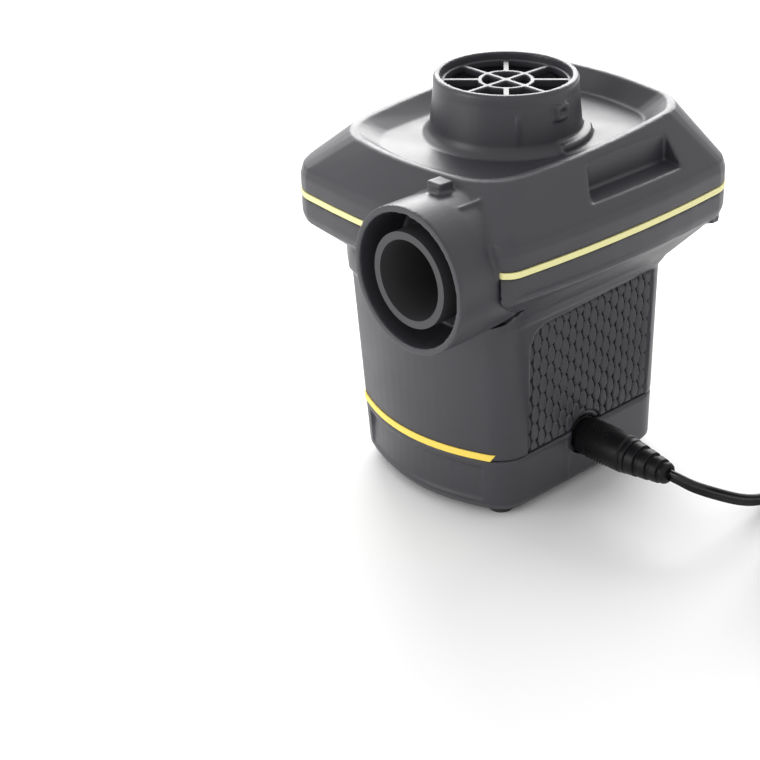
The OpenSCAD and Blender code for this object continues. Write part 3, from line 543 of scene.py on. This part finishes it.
def coil_points(turns=5, layers=2, per_turn=40):
    """Turns of the coil: inwards in the bottom layer, then outwards in the one above."""
    outer = (coil_hi.x - coil_lo.x) / 2 - CORD_THICK / 2 - COIL_SIDE
    inner = outer - (turns - 1) * (CORD_THICK + COIL_GAP)
    level = (coil_hi.z - coil_lo.z) / layers
    low = coil_lo.z + CORD_WIDTH / 2 + COIL_FOOT
    total = turns * layers - 0.5
    points = []
    for k in range(int(total * per_turn) + 1):
        turn = k / per_turn
        share = turn / (turns - 0.25)
        radius = outer + (inner - outer) * (share if share <= 1 else max(0.0, 2 - share))
        climb = min(1.0, max(0.0, (turn - (turns - CLIMB_AT)) / CLIMB_OVER))
        angle = math.pi - 2 * math.pi * turn
        spot = Vector((math.cos(angle) * radius, math.sin(angle) * radius, 0))
        points.append(Vector((coil_centre.x, coil_centre.y, low + level * climb)) + spot)
    return points


def smooth_path(points, step, parts=12):
    """Catmull-Rom curve through the points, as evenly spaced points."""
    dense = []
    ends = [points[0] * 2 - points[1], *points, points[-1] * 2 - points[-2]]
    for a, b, c, d in zip(ends, ends[1:], ends[2:], ends[3:]):
        for k in range(parts):
            t = k / parts
            dense.append((b * 2 + (c - a) * t + (a * 2 - b * 5 + c * 4 - d) * t ** 2
                          + (b * 3 - a - c * 3 + d) * t ** 3) / 2)
    dense.append(points[-1])
    out, travelled = [dense[0]], 0.0
    for p, q in zip(dense, dense[1:]):
        travelled += (q - p).length
        if travelled >= step:
            out.append(q)
            travelled = 0.0
    return out + [dense[-1]]


def twin_lead(points):
    """Flat twin cord standing on its edge: two round strands joined by a thin web."""
    strand = CORD_THICK / 2
    outline = []
    for centre, first in ((1, -60), (-1, 120)):
        for k in range(9):
            a = math.radians(first + 240 * k / 8 - 60)
            outline.append((math.cos(a) * strand * STRAND_FLAT,
                            centre * (CORD_WIDTH / 2 - strand) + math.sin(a) * strand))
    verts, faces = [], []
    count = len(outline)
    for i, p in enumerate(points):
        along = (points[min(i + 1, len(points) - 1)] - points[max(i - 1, 0)]).normalized()
        side = along.cross(Vector((0, 0, 1))).normalized()
        up = side.cross(along)
        verts += [p + side * u + up * v for u, v in outline]
    for i in range(len(points) - 1):
        for k in range(count):
            a, b = i * count + k, i * count + (k + 1) % count
            faces.append((a, b, b + count, a + count))
    faces.append(tuple(range(count - 1, -1, -1)))
    faces.append(tuple((len(points) - 1) * count + k for k in range(count)))
    return new_piece("lead", verts, faces, CORD, "plug", ["power_cord", "cord_coil", "cord_tail"])


route = [Vector(p) * MM for p in LEAD_MM] + coil_points() + [Vector(p) * MM for p in TAIL_MM]
cord_path = smooth_path(route, 1.0 * MM)
lead = twin_lead(cord_path)


# ---------------------------------------------------------------- room and light

def studio():
    """Pale floor under an even white sky."""
    size = 6.0
    mesh = bpy.data.meshes.new("floor")
    corners = [(-size, -size, 0), (size, -size, 0), (size, size, 0), (-size, size, 0)]
    mesh.from_pydata(corners, [], [(0, 1, 2, 3)])
    floor = bpy.data.objects.new("floor", mesh)
    bpy.context.scene.collection.objects.link(floor)
    mat, new, link, shader = tree("pale_floor")
    drift = noise(new, link, scale=3, detail=2)
    link(tint(new, link, drift, (0.86, 0.86, 0.86), (0.9, 0.9, 0.9)), shader.inputs["Base Color"])
    shader.inputs["Roughness"].default_value = 0.9
    mesh.materials.append(mat)

    world = bpy.data.worlds.new("studio")
    world.use_nodes = True
    background = world.node_tree.nodes["Background"]
    background.inputs["Color"].default_value = (1, 1, 1, 1)
    background.inputs["Strength"].default_value = 0.9
    bpy.context.scene.world = world


def soft_light(name, place, aim, size, power):
    """A rectangular lamp aimed at a point, with its power in watts."""
    data = bpy.data.lights.new(name, "AREA")
    data.shape = "RECTANGLE"
    data.size, data.size_y = size
    data.energy = power
    lamp = bpy.data.objects.new(name, data)
    lamp.location = place
    lamp.rotation_mode = "QUATERNION"
    lamp.rotation_quaternion = (Vector(aim) - Vector(place)).to_track_quat("-Z", "Y")
    bpy.context.scene.collection.objects.link(lamp)


studio()
middle = (shell_lo + shell_hi) / 2
soft_light("key_box", (-1.15, 0.25, 0.8), middle, size=(1.2, 1.2), power=10)
soft_light("glare_box", (-0.75, 1.0, 0.66), middle, size=(1.4, 0.6), power=22)
soft_light("front_box", (-0.35, -1.0, 0.35), middle, size=(0.5, 0.5), power=3)

scene = bpy.context.scene
scene.view_settings.view_transform = "Standard"
